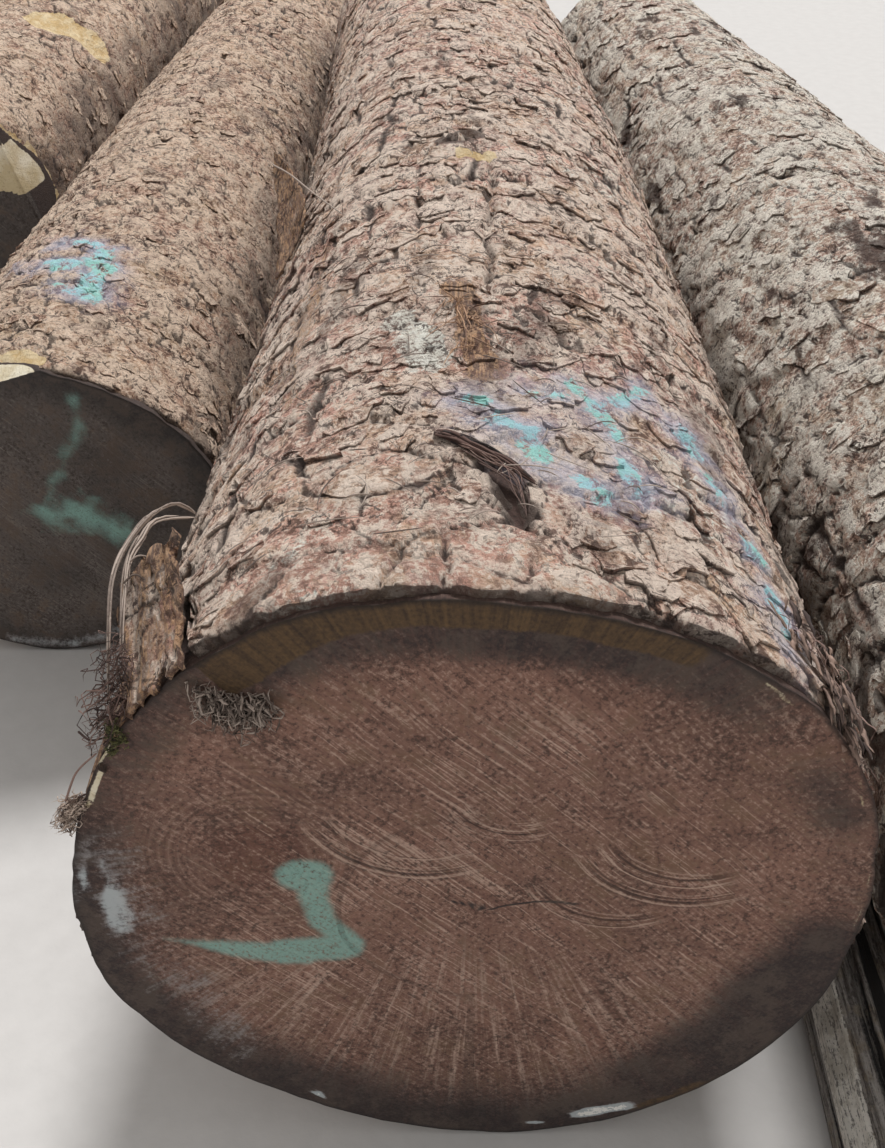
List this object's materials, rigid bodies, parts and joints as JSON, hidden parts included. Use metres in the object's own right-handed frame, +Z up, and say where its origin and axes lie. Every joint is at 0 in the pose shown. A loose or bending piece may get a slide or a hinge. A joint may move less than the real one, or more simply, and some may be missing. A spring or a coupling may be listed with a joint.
{
  "type": "stack of logs",
  "caption": "Stack of sawlogs with bark, side by side on the ground with staggered sawn ends, one chocked by a weathered timber offcut.",
  "frame": {"origin": "middle of the stack's footprint, on the ground that the logs lie on", "axes": "+Z up; +Y along the logs, from their butt ends towards their top ends; +X to the right, seen from the butts"},
  "size_m": [2.4977, 5.0398, 0.7509],
  "materials": {
    "bark": "rough flaking bark, dry, reddish tan with grey and dark cracks",
    "sawn_end": "chainsawn end grain, weathered dark, with sprayed marks",
    "bare_wood": "bare pale wood and torn bark fibre",
    "weathered_timber": "silver-grey weathered sawn timber, cracked along the grain"
  },
  "bodies": {
    "root": {"log_centre": "bark", "log_left": "bark", "log_far_left": "bark", "log_right": "bark", "chock_timber": "weathered_timber"}
  },
  "joints": []
}
